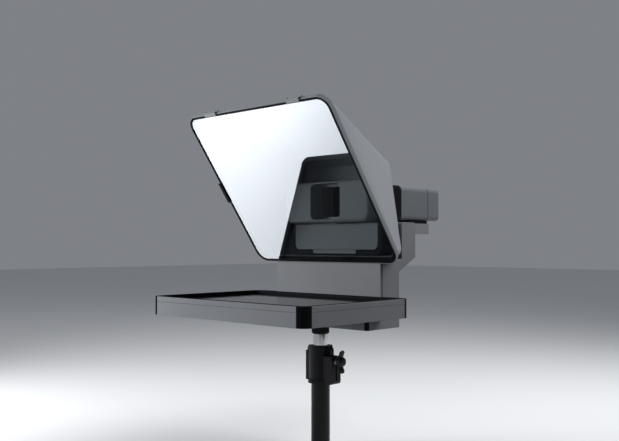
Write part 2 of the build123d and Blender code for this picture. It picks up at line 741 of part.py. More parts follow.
def rail_lock_screw():
    return rod_x(2.5, -78, -RAIL_W / 2 - 0.6, LOCK_Y, LOCK_Z)


def rail_lock_knob():
    knob = rod_x(10, -85, -NECK_W / 2 - 0.4, LOCK_Y, LOCK_Z)
    knob = chamfer(knob.edges().filter_by(GeomType.CIRCLE), 1.2)
    return knob - rod_x(2.5, -78, -74, LOCK_Y, LOCK_Z)


PARTS = {
    "stand_tube": stand_tube,
    "stand_collar": stand_collar,
    "collar_bush": collar_bush,
    "collar_rivets": collar_rivets,
    "clamp_screw": clamp_screw,
    "wing_knob": wing_knob,
    "mast_tube": mast_tube,
    "mast_plug": mast_plug,
    "mast_cap": mast_cap,
    "mounting_stud": mounting_stud,
    "base_cover": base_cover,
    "base_corner_strips": lambda: base_strip_zone(1.18),
    "base_screws": base_screws,
    "thread_insert": thread_insert,
    "neck_housing": neck_housing,
    "neck_front_cover": neck_front_cover,
    "neck_screws": neck_screws,
    "hood_screws": hood_screws,
    "neck_spine": neck_spine,
    "control_board": control_board,
    "usb_socket": usb_socket,
    "display_lower_shell": display_lower_shell,
    "display_bezel": display_bezel,
    "corner_guards": corner_guards,
    "screen_glass": screen_glass,
    "lcd_panel": lcd_panel,
    "display_backplate": display_backplate,
    "display_board": display_board,
    "hood_front_ring": hood_front_ring,
    "mirror_frame": mirror_frame,
    "beam_splitter_glass": beam_splitter_glass,
    "pane_gasket": pane_gasket,
    "hood_shell": hood_shell,
    "hood_rear_panel": hood_rear_panel,
    "backplate": backplate,
    "lower_door": lower_door,
    "latch_tab": latch_tab,
    "latch_springs": latch_springs,
    "lens_housing": lens_housing,
    "window_ring": window_ring,
    "light_shroud": light_shroud,
    "top_clip_left": lambda: top_clip(-1),
    "top_clip_right": lambda: top_clip(1),
    "side_clip": side_clip,
    "rail_guide": rail_guide,
    "camera_rail": camera_rail,
    "camera_pad": camera_pad,
    "camera_front": camera_front,
    "camera_body": camera_body,
    "camera_rear_cap": camera_rear_cap,
    "camera_socket": camera_socket,
    "lens_barrel": lens_barrel,
    "front_lens": front_lens,
    "rear_lens": rear_lens,
    "sensor_board": sensor_board,
    "camera_boss": camera_boss,
    "camera_screw": camera_screw,
    "rail_lock_screw": rail_lock_screw,
    "rail_lock_knob": rail_lock_knob,
}

for name, make in PARTS.items():
    made = make()
    solids = []
    for piece in made if isinstance(made, list) else [made]:
        solids.extend(piece.solids())
    shape = solids[0] if len(solids) == 1 else Compound(children=solids)
    export_step(shape, f"parts/{name}.step")
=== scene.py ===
import math

import bmesh
import bpy
from mathutils import Euler, Matrix, Vector


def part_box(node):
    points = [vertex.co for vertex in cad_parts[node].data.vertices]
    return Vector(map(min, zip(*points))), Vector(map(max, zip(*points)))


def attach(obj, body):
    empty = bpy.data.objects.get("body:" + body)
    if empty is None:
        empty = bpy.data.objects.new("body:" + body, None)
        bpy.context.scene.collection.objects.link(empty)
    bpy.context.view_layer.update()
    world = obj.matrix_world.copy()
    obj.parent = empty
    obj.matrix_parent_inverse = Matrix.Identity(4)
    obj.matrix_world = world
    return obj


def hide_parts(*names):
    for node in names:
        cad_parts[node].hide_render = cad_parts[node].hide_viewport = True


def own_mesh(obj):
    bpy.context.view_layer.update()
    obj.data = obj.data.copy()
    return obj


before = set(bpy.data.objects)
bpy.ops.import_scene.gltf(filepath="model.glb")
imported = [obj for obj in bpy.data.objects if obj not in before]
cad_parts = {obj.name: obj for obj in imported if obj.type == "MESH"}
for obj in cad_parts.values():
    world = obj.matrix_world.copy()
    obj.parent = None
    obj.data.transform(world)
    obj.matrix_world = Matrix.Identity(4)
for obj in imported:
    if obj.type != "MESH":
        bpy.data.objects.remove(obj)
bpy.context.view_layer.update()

MM = 0.001

# The hood's front frame leans forward by this angle from the level.
LEAN = math.radians(54.4)
HOOD_WALL = 2 * MM
HOOD_FRONT_CORNER = 13.85 * MM
HOOD_REAR_CORNER = 9 * MM
HOOD_REAR_LOW = 153 * MM
HOOD_REAR_HIGH = 118 * MM
HOOD_REAR_FOOT = 200 * MM
HOOD_REAR_TOP = 303.5 * MM
PANE_THICK = 2.0 * MM
PANE_CORNER = 10.8 * MM
PANE_ARRIS = 0.25 * MM

# Zones in the pieces' own frame that carry painted shade, coloured black: the bezel's flat top and the walls
# of its opening, the neck's front face behind its cover, and the lip in the camera's seam.
FAR = 1.0
# Painted shade on the bezel's flat top and on the walls of its opening.
BEZEL_PAINTED_SHADE = (
    {"Z": (159.9 * MM, FAR)},
    {"X": (-104.1 * MM, 104.1 * MM), "Y": (-134.1 * MM, FAR), "Z": (156.5 * MM, FAR)},
)
# Painted shade in the gap between the neck's front face and its cover.
NECK_PAINTED_SHADE = ({"Y": (-FAR, 11.9 * MM), "Z": (141.5 * MM, FAR)},)
# Painted shade on the lip inside the camera's seam.
CAMERA_SEAM_PAINTED_SHADE = ({"Y": (171.15 * MM, 172.0 * MM)},)
# The colour of the painted shade in those zones.
PAINTED_SHADE_BLACK = (0.07, 0.07, 0.075, 1)


# ---- finishes ----

def new_finish(name):
    """A material with its shader ready to be dressed."""
    finish = bpy.data.materials.new(name)
    finish.use_nodes = True
    tree = finish.node_tree
    return finish, tree.nodes, tree.links, tree.nodes["Principled BSDF"]


def noise(nodes, links, scale, detail=2.0, stretch=(1, 1, 1)):
    """A cloud pattern on the piece's own coordinates, drawn out along each axis by stretch."""
    place = nodes.new("ShaderNodeTexCoord")
    turn = nodes.new("ShaderNodeMapping")
    turn.inputs["Scale"].default_value = stretch
    cloud = nodes.new("ShaderNodeTexNoise")
    cloud.inputs["Scale"].default_value = scale
    cloud.inputs["Detail"].default_value = detail
    links.new(place.outputs["Object"], turn.inputs["Vector"])
    links.new(turn.outputs["Vector"], cloud.inputs["Vector"])
    return cloud.outputs["Fac"]


def spread(nodes, links, pattern, low, high):
    """The pattern's middle range, spread between two values."""
    scale = nodes.new("ShaderNodeMapRange")
    scale.inputs["From Min"].default_value = 0.3
    scale.inputs["From Max"].default_value = 0.7
    scale.inputs["To Min"].default_value = low
    scale.inputs["To Max"].default_value = high
    links.new(pattern, scale.inputs["Value"])
    return scale.outputs["Result"]


def two_tone(nodes, links, pattern, colour, change):
    """A colour that wanders by a share of itself with the pattern."""
    ramp = nodes.new("ShaderNodeValToRGB")
    ramp.color_ramp.elements[0].position = 0.3
    ramp.color_ramp.elements[1].position = 0.7
    ramp.color_ramp.elements[0].color = [c * (1 - change) for c in colour] + [1]
    ramp.color_ramp.elements[1].color = [min(1, c * (1 + change)) for c in colour] + [1]
    links.new(pattern, ramp.inputs["Fac"])
    return ramp.outputs["Color"]


def relief(nodes, links, pattern, depth, strength=1.0, edge=0.0):
    """Surface relief from a pattern, on edges softened by the given radius."""
    bump = nodes.new("ShaderNodeBump")
    bump.inputs["Strength"].default_value = strength
    bump.inputs["Distance"].default_value = depth
    links.new(pattern, bump.inputs["Height"])
    if edge:
        soft = nodes.new("ShaderNodeBevel")
        soft.samples = 4
        soft.inputs["Radius"].default_value = edge
        links.new(soft.outputs["Normal"], bump.inputs["Normal"])
    return bump.outputs["Normal"]


def maths(nodes, links, operation, *values):
    """One arithmetic step on plain values or sockets."""
    step = nodes.new("ShaderNodeMath")
    step.operation = operation
    for socket, value in zip(step.inputs, values):
        if isinstance(value, bpy.types.NodeSocket):
            links.new(value, socket)
        else:
            socket.default_value = value
    return step.outputs["Value"]


def within(nodes, links, zones):
    """1 inside any of the zones and 0 outside. A zone gives the (low, high) of each axis that it limits."""
    place = nodes.new("ShaderNodeTexCoord")
    split = nodes.new("ShaderNodeSeparateXYZ")
    links.new(place.outputs["Object"], split.inputs["Vector"])
    found = None
    for zone in zones:
        inside = None
        for axis, (low, high) in zone.items():
            middle, reach = (low + high) / 2, (high - low) / 2
            step = maths(nodes, links, "COMPARE", split.outputs[axis], middle, reach)
            inside = step if inside is None else maths(nodes, links, "MULTIPLY", inside, step)
        found = inside if found is None else maths(nodes, links, "MAXIMUM", found, inside)
    return found


def moulded(name, colour, rough, grain=0.45 * MM, depth=0.02 * MM, edge=0.35 * MM, gloss=0.5, painted_shade_zones=()):
    """Moulded plastic: fine grain, faint clouding, slightly uneven gloss, and painted shade, black and
    without gloss, in the given zones.
    """
    finish, nodes, links, shader = new_finish(name)
    fine = noise(nodes, links, 1 / grain, 3)
    broad = noise(nodes, links, 14, 3)
    shade = two_tone(nodes, links, broad, colour, 0.05)
    # Painted shade: the given zones turn black and lose their gloss.
    if painted_shade_zones:
        dim = nodes.new("ShaderNodeMix")
        dim.data_type = "RGBA"
        dim.blend_type = "MULTIPLY"
        colours = [socket for socket in dim.inputs if socket.enabled and socket.type == "RGBA"]
        black = within(nodes, links, painted_shade_zones)
        links.new(black, dim.inputs["Factor"])
        shine = maths(nodes, links, "MULTIPLY", maths(nodes, links, "SUBTRACT", 1.0, black), gloss)
        links.new(shine, shader.inputs["Specular IOR Level"])
        links.new(shade, colours[0])
        colours[1].default_value = PAINTED_SHADE_BLACK
        shade = next(socket for socket in dim.outputs if socket.enabled)
    else:
        shader.inputs["Specular IOR Level"].default_value = gloss
    links.new(shade, shader.inputs["Base Color"])
    links.new(spread(nodes, links, broad, rough - 0.04, rough + 0.05), shader.inputs["Roughness"])
    links.new(relief(nodes, links, fine, depth, 0.6, edge), shader.inputs["Normal"])
    return finish


def metal(name, colour, rough, stretch, depth=0.006 * MM, edge=0.2 * MM, scale=900):
    """Bare or plated metal with tool lines that run across the stretched axis."""
    finish, nodes, links, shader = new_finish(name)
    lines = noise(nodes, links, scale, 2, stretch)
    links.new(two_tone(nodes, links, lines, colour, 0.06), shader.inputs["Base Color"])
    links.new(spread(nodes, links, lines, rough * 0.8, rough * 1.25), shader.inputs["Roughness"])
    links.new(relief(nodes, links, lines, depth, 0.5, edge), shader.inputs["Normal"])
    shader.inputs["Metallic"].default_value = 1.0
    return finish


def coated_metal(name, colour, rough, lump, depth, edge=0.5 * MM):
    """Paint or powder over metal: low lumps under a thin clear top."""
    finish, nodes, links, shader = new_finish(name)
    orange_peel = noise(nodes, links, 1 / lump, 2)
    broad = noise(nodes, links, 30, 2)
    links.new(two_tone(nodes, links, broad, colour, 0.12), shader.inputs["Base Color"])
    links.new(spread(nodes, links, broad, rough - 0.05, rough + 0.08), shader.inputs["Roughness"])
    links.new(relief(nodes, links, orange_peel, depth, 0.7, edge), shader.inputs["Normal"])
    shader.inputs["Specular IOR Level"].default_value = 0.2
    shader.inputs["Coat Weight"].default_value = 0.03
    shader.inputs["Coat Roughness"].default_value = 0.25
    return finish


def rubber(name, colour, rough=0.75):
    """Matte rubber with a light bloom at grazing angles."""
    finish, nodes, links, shader = new_finish(name)
    fine = noise(nodes, links, 2200, 2)
    broad = noise(nodes, links, 40, 3)
    links.new(two_tone(nodes, links, broad, colour, 0.15), shader.inputs["Base Color"])
    links.new(spread(nodes, links, broad, rough - 0.08, rough + 0.06), shader.inputs["Roughness"])
    links.new(relief(nodes, links, fine, 0.03 * MM, 0.5, 0.4 * MM), shader.inputs["Normal"])
    shader.inputs["Specular IOR Level"].default_value = 0.15
    shader.inputs["Sheen Weight"].default_value = 0.02
    shader.inputs["Sheen Roughness"].default_value = 0.5
    return finish


def circuit_board(name):
    """Solder mask over fine copper runs."""
    finish, nodes, links, shader = new_finish(name)
    place = nodes.new("ShaderNodeTexCoord")
    runs = nodes.new("ShaderNodeTexBrick")
    runs.inputs["Scale"].default_value = 260
    runs.inputs["Mortar Size"].default_value = 0.06
    runs.inputs["Color1"].default_value = (0.012, 0.085, 0.040, 1)
    runs.inputs["Color2"].default_value = (0.010, 0.070, 0.034, 1)
    runs.inputs["Mortar"].default_value = (0.045, 0.17, 0.085, 1)
    links.new(place.outputs["Object"], runs.inputs["Vector"])
    links.new(runs.outputs["Color"], shader.inputs["Base Color"])
    links.new(relief(nodes, links, runs.outputs["Fac"], 0.03 * MM, 0.6), shader.inputs["Normal"])
    shader.inputs["Roughness"].default_value = 0.3
    return finish


def part_silvered(name, mirror, clear):
    """Beam splitter glass: part of the light bounces off the coated face, part goes through."""
    finish, nodes, links, shader = new_finish(name)
    nodes.remove(shader)
    bounce = nodes.new("ShaderNodeBsdfGlossy")
    bounce.inputs["Color"].default_value = mirror
    bounce.inputs["Roughness"].default_value = 0.0
    through = nodes.new("ShaderNodeBsdfTransparent")
    haze = noise(nodes, links, 5, 1)
    links.new(two_tone(nodes, links, haze, clear, 0.02), through.inputs["Color"])
    both = nodes.new("ShaderNodeAddShader")
    links.new(bounce.outputs["BSDF"], both.inputs[0])
    links.new(through.outputs["BSDF"], both.inputs[1])
    links.new(both.outputs["Shader"], nodes["Material Output"].inputs["Surface"])
    return finish


def clear_pane(name, tint):
    """The pane's clear back and ground edges."""
    finish, nodes, links, shader = new_finish(name)
    nodes.remove(shader)
    through = nodes.new("ShaderNodeBsdfTransparent")
    haze = noise(nodes, links, 8, 1)
    links.new(two_tone(nodes, links, haze, tint, 0.01), through.inputs["Color"])
    links.new(through.outputs["BSDF"], nodes["Material Output"].inputs["Surface"])
    return finish


def dark_glass(name, colour, rough):
    """Smooth dark cover glass with a faint wipe haze in its gloss."""
    finish, nodes, links, shader = new_finish(name)
    haze = noise(nodes, links, 18, 4, (1, 2.5, 1))
    links.new(two_tone(nodes, links, haze, colour, 0.1), shader.inputs["Base Color"])
    links.new(spread(nodes, links, haze, rough, rough + 0.03), shader.inputs["Roughness"])
    shader.inputs["Specular IOR Level"].default_value = 0.2
    return finish


def coated_lens(name):
    """Lens glass over the dark barrel, with the violet-green tint of its anti-reflection coating painted into
    the colour by viewing angle: a painted reflection.
    """
    finish, nodes, links, shader = new_finish(name)
    bloom = nodes.new("ShaderNodeLayerWeight")
    bloom.inputs["Blend"].default_value = 0.35
    ramp = nodes.new("ShaderNodeValToRGB")
    ramp.color_ramp.elements[0].color = (0.012, 0.008, 0.030, 1)
    ramp.color_ramp.elements[1].color = (0.010, 0.035, 0.028, 1)
    links.new(bloom.outputs["Facing"], ramp.inputs["Fac"])
    links.new(ramp.outputs["Color"], shader.inputs["Base Color"])
    haze = noise(nodes, links, 60, 2)
    links.new(spread(nodes, links, haze, 0.02, 0.05), shader.inputs["Roughness"])
    shader.inputs["Coat Weight"].default_value = 0.6
    shader.inputs["Coat Roughness"].default_value = 0.02
    return finish


FINISHES = {
    "grey_shell": moulded("grey_shell", (0.185, 0.193, 0.205), 0.50, gloss=0.35),
    # The neck carries painted shade behind its front cover.
    "grey_neck": moulded("grey_neck", (0.185, 0.193, 0.205), 0.50, gloss=0.35, painted_shade_zones=NECK_PAINTED_SHADE),
    # The bezel carries painted shade on its top and in its opening.
    "grey_bezel": moulded("grey_bezel", (0.185, 0.193, 0.205), 0.50, gloss=0.3, painted_shade_zones=BEZEL_PAINTED_SHADE),
    "grey_hood": moulded("grey_hood", (0.250, 0.262, 0.280), 0.55, grain=0.6 * MM, gloss=0.35),
    "hood_inner": moulded("hood_inner", (0.230, 0.236, 0.248), 0.62, grain=0.6 * MM, gloss=0.3),
    "hood_lining": moulded("hood_lining", (0.016, 0.017, 0.019), 0.80, grain=0.5 * MM, gloss=0.1),
    "light_trim": moulded("light_trim", (0.26, 0.27, 0.28), 0.45, depth=0.01 * MM, gloss=0.3),
    "black_frame": moulded("black_frame", (0.007, 0.007, 0.008), 0.62, depth=0.01 * MM, gloss=0.15),
    # The black of the corner pieces is a painted reflection: it stands for the dark surroundings mirrored at
    # the rounded corners.
    "black_corner": moulded("black_corner", (0.004, 0.004, 0.005), 0.55, depth=0.002 * MM, gloss=0.1),
    "mirror_glass": part_silvered("mirror_glass", (0.70, 0.725, 0.755, 1), (0.575, 0.585, 0.60)),
    "pane_edge": clear_pane("pane_edge", (0.93, 0.96, 0.95)),
    "screen_glass": dark_glass("screen_glass", (0.004, 0.004, 0.005), 0.06),
    "lcd": dark_glass("lcd", (0.02, 0.02, 0.025), 0.2),
    "board": circuit_board("board"),
    "sheet_steel": metal("sheet_steel", (0.50, 0.51, 0.52), 0.32, (1, 0.05, 1)),
    "screw_steel": metal("screw_steel", (0.42, 0.42, 0.44), 0.28, (1, 1, 1)),
    "brass": metal("brass", (0.66, 0.46, 0.17), 0.25, (0.1, 0.1, 1)),
    "seal_rubber": rubber("seal_rubber", (0.004, 0.004, 0.0045)),
    "guide_plastic": moulded("guide_plastic", (0.035, 0.035, 0.038), 0.5),
    # The camera's grey carries painted shade on the lip in its seam.
    "camera_grey": moulded(
        "camera_grey", (0.125, 0.133, 0.143), 0.45, grain=0.3 * MM, edge=0.5 * MM, gloss=0.4,
        painted_shade_zones=CAMERA_SEAM_PAINTED_SHADE),
    "camera_black": moulded("camera_black", (0.008, 0.008, 0.009), 0.40, depth=0.008 * MM, gloss=0.3),
    "lens_glass": coated_lens("lens_glass"),
    "stand_black": coated_metal("stand_black", (0.005, 0.005, 0.006), 0.34, 0.8 * MM, 0.01 * MM),
    "cast_black": coated_metal("cast_black", (0.006, 0.006, 0.007), 0.45, 1.1 * MM, 0.04 * MM, 0.8 * MM),
    "chrome": metal("chrome", (0.80, 0.81, 0.82), 0.07, (0.05, 0.05, 1), 0.001 * MM),
    "steel_thread": metal("steel_thread", (0.48, 0.48, 0.50), 0.25, (0.1, 0.1, 1)),
    "knob_black": moulded(
        "knob_black", (0.007, 0.007, 0.008), 0.45, grain=0.7 * MM, edge=0.8 * MM, gloss=0.3),
}

# nodes whose finish differs from that of the other pieces in their slot
OWN_FINISH = {
    "neck_housing": "grey_neck", "hood_front_ring": "grey_hood", "backplate": "hood_lining",
    "collar_rivets": "cast_black",
}


def dress_cad_nodes():
    """Each carried-over node takes the finish of the record's slot that it was given."""
    for name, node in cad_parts.items():
        for place in node.material_slots:
            slot_name = place.material.name.split(".")[0]
            place.material = FINISHES[OWN_FINISH.get(name, slot_name)]


# ---- trees that grow the repeated pieces ----

def new_tree(name, sizes):
    """An empty geometry tree with named inputs. sizes is a list of (label, socket kind, value)."""
    tree = bpy.data.node_groups.new(name, "GeometryNodeTree")
    tree.interface.new_socket(name="Geometry", in_out="OUTPUT", socket_type="NodeSocketGeometry")
    for label, kind, value in sizes:
        socket = tree.interface.new_socket(name=label, in_out="INPUT", socket_type="NodeSocket" + kind)
        if value is not None:
            socket.default_value = value
    entry = tree.nodes.new("NodeGroupInput")
    leave = tree.nodes.new("NodeGroupOutput")
    return tree, entry.outputs, leave.inputs["Geometry"]


def node(tree, kind, **sockets):
    """Adds a node. A socket is given a plain value, or an output to be linked from; _ stands for a space."""
    made = tree.nodes.new(kind)
    for label, value in sockets.items():
        socket = made.inputs[label.replace("_", " ")]
        if isinstance(value, bpy.types.NodeSocket):
            tree.links.new(value, socket)
        else:
            socket.default_value = value
    return made


def sum_of(tree, operation, first, second):
    """One arithmetic step in a geometry tree."""
    return maths(tree.nodes, tree.links, operation, first, second)


def random_value(tree, kind, seed, low=None, high=None, chance=None):
    """A seeded random value for each point."""
    roll = tree.nodes.new("FunctionNodeRandomValue")
    roll.data_type = kind
    tree.links.new(seed, roll.inputs["Seed"])
    shown = {socket.name: socket for socket in roll.inputs if socket.enabled}
    if chance is not None:
        shown["Probability"].default_value = chance
    else:
        shown["Min"].default_value = low
        shown["Max"].default_value = high
    return next(socket for socket in roll.outputs if socket.enabled)


def joined(tree, *shapes):
    """Several shapes put together."""
    join = tree.nodes.new("GeometryNodeJoinGeometry")
    for shape in shapes:
        tree.links.new(shape, join.inputs["Geometry"])
    return join.outputs["Geometry"]


def finish_tree(tree, shape, finish, leave):
    """Makes the instances real, sets their material and closes the tree."""
    real = node(tree, "GeometryNodeRealizeInstances", Geometry=shape)
    dressed = node(tree, "GeometryNodeSetMaterial", Geometry=real.outputs["Geometry"], Material=finish)
    tree.links.new(dressed.outputs["Geometry"], leave)


def grow(name, tree, sizes, later=None):
    """Evaluates a tree with its inputs set, and any later modifiers, into a plain mesh object."""
    seed = bpy.data.objects.new(name + "_seed", bpy.data.meshes.new(name + "_seed"))
    bpy.context.scene.collection.objects.link(seed)
    growing = seed.modifiers.new("grow", "NODES")
    growing.node_group = tree
    for item in tree.interface.items_tree:
        if item.in_out == "INPUT" and item.name in sizes:
            growing[item.identifier] = sizes[item.name]
    if later:
        later(seed)
    bpy.context.view_layer.update()
    grown = seed.evaluated_get(bpy.context.evaluated_depsgraph_get())
    mesh = bpy.data.meshes.new_from_object(grown)
    mesh.name = name
    piece = bpy.data.objects.new(name, mesh)
    bpy.context.scene.collection.objects.link(piece)
    bpy.data.objects.remove(seed)
    return piece


def placed(piece, turn, at):
    """Puts a turn and a place into the piece's own mesh."""
    piece.data.transform(Matrix.Translation(at) @ Euler(turn).to_matrix().to_4x4())
    return piece


# ---- screws ----

def screw_tree():
    """Cross-recessed pan head screws on a grid, heads up, shanks down, each turned its own way."""
    tree, given, leave = new_tree("screw_set", [
        ("Columns", "Int", 2), ("Rows", "Int", 2), ("Column Gap", "Float", 0.1), ("Row Gap", "Float", 0.1),
        ("Head Radius", "Float", 0.003), ("Head Height", "Float", 0.002), ("Shank Radius", "Float", 0.0015),
        ("Shank Length", "Float", 0.014), ("Seed", "Int", 4), ("Finish", "Material", None),
    ])
    head = node(
        tree, "GeometryNodeMeshCylinder", Vertices=28, Radius=given["Head Radius"],
        Depth=given["Head Height"])
    half_down = sum_of(tree, "MULTIPLY", given["Head Height"], -0.5)
    drop = node(tree, "ShaderNodeCombineXYZ", Z=half_down)
    head_low = node(
        tree, "GeometryNodeTransform", Geometry=head.outputs["Mesh"],
        Translation=drop.outputs["Vector"])
    slot_long = sum_of(tree, "MULTIPLY", given["Head Radius"], 1.15)
    slot_wide = sum_of(tree, "MULTIPLY", given["Head Radius"], 0.28)
    along = node(tree, "ShaderNodeCombineXYZ", X=slot_long, Y=slot_wide, Z=given["Head Height"])
    across = node(tree, "ShaderNodeCombineXYZ", X=slot_wide, Y=slot_long, Z=given["Head Height"])
    cut = head_low.outputs["Geometry"]
    for size in (along, across):
        bar = node(tree, "GeometryNodeMeshCube", Size=size.outputs["Vector"])
        recess = tree.nodes.new("GeometryNodeMeshBoolean")
        recess.operation = "DIFFERENCE"
        tree.links.new(cut, recess.inputs["Mesh 1"])
        tree.links.new(bar.outputs["Mesh"], recess.inputs["Mesh 2"])
        cut = recess.outputs["Mesh"]
    shank = node(
        tree, "GeometryNodeMeshCylinder", Vertices=14, Radius=given["Shank Radius"],
        Depth=given["Shank Length"])
    half_shank = sum_of(tree, "MULTIPLY", given["Shank Length"], -0.5)
    shank_mid = sum_of(tree, "SUBTRACT", half_shank, given["Head Height"])
    shank_drop = node(tree, "ShaderNodeCombineXYZ", Z=shank_mid)
    shank_low = node(
        tree, "GeometryNodeTransform", Geometry=shank.outputs["Mesh"],
        Translation=shank_drop.outputs["Vector"])
    grid = node(
        tree, "GeometryNodeMeshGrid", Vertices_X=given["Columns"], Vertices_Y=given["Rows"],
        Size_X=given["Column Gap"], Size_Y=given["Row Gap"])
    turn = random_value(tree, "FLOAT_VECTOR", given["Seed"], (0, 0, 0), (0, 0, 1.5))
    rows = node(
        tree, "GeometryNodeInstanceOnPoints", Points=grid.outputs["Mesh"], Rotation=turn,
        Instance=joined(tree, cut, shank_low.outputs["Geometry"]))
    finish_tree(tree, rows.outputs["Instances"], given["Finish"], leave)
    return tree


def screw_set(name, tree, gaps, columns_rows, head, shank, turn, at, body, stands_for):
    """One set of screws: gaps between them, head (radius, height), shank (radius, length)."""
    piece = grow(name, tree, {
        "Columns": columns_rows[0], "Rows": columns_rows[1], "Column Gap": gaps[0], "Row Gap": gaps[1],
        "Head Radius": head[0], "Head Height": head[1], "Shank Radius": shank[0], "Shank Length": shank[1],
        "Finish": FINISHES["screw_steel"],
    })
    placed(piece, turn, at)
    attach(piece, body)
    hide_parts(stands_for)


def all_screws():
    """The cross-head screws of the base, the neck and the hood. r is the head's radius."""
    tree = screw_tree()
    low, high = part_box("base_screws")
    r = (high.y - low.y) / 2
    head_high = 2 * MM
    shank = (1.5 * MM, high.z - low.z - head_high)
    screw_set(
        "base_cross_screws", tree, (high.x - low.x - 2 * r, 0), (2, 1), (r, head_high), shank,
        (math.pi, 0, 0), (0, low.y + r, low.z), "head", "base_screws")
    low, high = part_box("neck_screws")
    r = 3 * MM
    head_high = 1.3 * MM
    shank = (1.5 * MM, high.y - low.y - head_high)
    screw_set(
        "neck_cross_screws", tree, (high.x - low.x - 2 * r, high.z - low.z - 2 * r), (2, 2), (r, head_high),
        shank, (-math.pi / 2, 0, 0), (0, high.y, (low.z + high.z) / 2), "head", "neck_screws")
    low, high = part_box("hood_screws")
    r = 2.8 * MM
    head_high = 2.1 * MM
    shank = (1.4 * MM, high.z - low.z - head_high)
    screw_set(
        "hood_cross_screws", tree, (high.x - low.x - 2 * r, high.y - low.y - 2 * r), (2, 2), (r, head_high),
        shank, (math.pi, 0, 0), (0, (low.y + high.y) / 2, low.z), "head", "hood_screws")


# ---- knurls, thread and coils ----

def knurl_tree():
    """Straight ribs set round a rim, ready to stand along Z."""
    tree, given, leave = new_tree("knurl", [
        ("Count", "Int", 48), ("Radius", "Float", 0.009), ("Length", "Float", 0.007),
        ("Rib", "Float", 0.0004), ("Finish", "Material", None),
    ])
    ring = node(tree, "GeometryNodeMeshCircle", Vertices=given["Count"], Radius=given["Radius"])
    rib = node(
        tree, "GeometryNodeMeshCylinder", Vertices=6, Radius=given["Rib"], Depth=given["Length"])
    outward = tree.nodes.new("GeometryNodeInputPosition")
    face = tree.nodes.new("FunctionNodeAlignRotationToVector")
    face.axis = "X"
    tree.links.new(outward.outputs["Position"], face.inputs["Vector"])
    ribs = node(
        tree, "GeometryNodeInstanceOnPoints", Points=ring.outputs["Mesh"], Instance=rib.outputs["Mesh"],
        Rotation=face.outputs["Rotation"])
    finish_tree(tree, ribs.outputs["Instances"], given["Finish"], leave)
    return tree


def knurled_rims():
    """Grip ribs on the mast's cap, the camera thumbscrew and the rail's locking knob."""
    tree = knurl_tree()
    rib = 0.42 * MM
    chamfer = 1.2 * MM
    low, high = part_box("mast_cap")
    flange = 8.7 * MM
    cap = grow("mast_cap_ribs", tree, {
        "Count": 52, "Radius": (high.x - low.x) / 2, "Length": flange - 2 * chamfer, "Rib": rib,
        "Finish": FINISHES["cast_black"]})
    placed(cap, (0, 0, 0), (0, 0, high.z - flange / 2))
    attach(cap, "mast")
    low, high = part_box("camera_screw")
    knob_high = 11.7 * MM
    grip = grow("camera_screw_ribs", tree, {
        "Count": 44, "Radius": (high.x - low.x) / 2, "Length": knob_high - 2 * chamfer, "Rib": rib,
        "Finish": FINISHES["steel_thread"]})
    placed(grip, (0, 0, 0), (0, (low.y + high.y) / 2, low.z + knob_high / 2))
    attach(grip, "camera_screw")
    low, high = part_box("rail_lock_knob")
    lock = grow("rail_lock_ribs", tree, {
        "Count": 40, "Radius": (high.z - low.z) / 2, "Length": high.x - low.x - 2.4 * chamfer,
        "Rib": 1.5 * rib, "Finish": FINISHES["knob_black"]})
    placed(lock, (0, math.pi / 2, 0), (low + high) / 2)
    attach(lock, "rail_lock")


def coil_tree():
    """Round wire wound on a cylinder, one coil at each point of a row."""
    tree, given, leave = new_tree("coil", [
        ("Turns", "Float", 5.0), ("Radius", "Float", 0.001), ("Height", "Float", 0.0045),
        ("Wire", "Float", 0.0002), ("Coils", "Int", 2), ("Gap", "Float", 0.03), ("Finish", "Material", None),
    ])
    winding = node(
        tree, "GeometryNodeCurveSpiral", Resolution=20, Rotations=given["Turns"],
        Start_Radius=given["Radius"], End_Radius=given["Radius"], Height=given["Height"])
    section = tree.nodes.new("GeometryNodeCurvePrimitiveCircle")
    section.inputs["Resolution"].default_value = 8
    tree.links.new(given["Wire"], section.inputs["Radius"])
    wire = node(
        tree, "GeometryNodeCurveToMesh", Curve=winding.outputs["Curve"],
        Profile_Curve=section.outputs["Curve"])
    wire.inputs["Fill Caps"].default_value = True
    row = node(
        tree, "GeometryNodeMeshGrid", Size_X=given["Gap"], Size_Y=0.0, Vertices_X=given["Coils"],
        Vertices_Y=1)
    coils = node(
        tree, "GeometryNodeInstanceOnPoints", Points=row.outputs["Mesh"], Instance=wire.outputs["Mesh"])
    finish_tree(tree, coils.outputs["Instances"], given["Finish"], leave)
    return tree


def coils_and_threads():
    """The latch's two springs and the visible thread of the clamp screw."""
    tree = coil_tree()
    low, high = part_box("latch_springs")
    wire = 0.22 * MM
    outer = (high.y - low.y) / 2
    springs = grow("latch_coils", tree, {
        "Turns": 6.0, "Radius": outer - wire, "Height": high.z - low.z - 2 * wire, "Wire": wire, "Coils": 2,
        "Gap": high.x - low.x - 2 * outer, "Finish": FINISHES["screw_steel"]})
    placed(springs, (0, 0, 0), (0, (low.y + high.y) / 2, low.z + wire))
    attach(springs, "head")
    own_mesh(springs)
    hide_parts("latch_springs")
    low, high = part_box("clamp_screw")
    pitch = 0.8 * MM
    sunk = 0.05 * MM
    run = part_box("wing_knob")[0].x - low.x
    thread = grow("clamp_thread", tree, {
        "Turns": run / pitch, "Radius": (high.z - low.z) / 2 - sunk, "Height": run, "Wire": wire,
        "Coils": 1, "Gap": 0.0, "Finish": FINISHES["steel_thread"]})
    placed(thread, (0, math.pi / 2, 0), (low.x, 0, (low.z + high.z) / 2))
    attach(thread, "clamp")


# ---- circuit parts ----

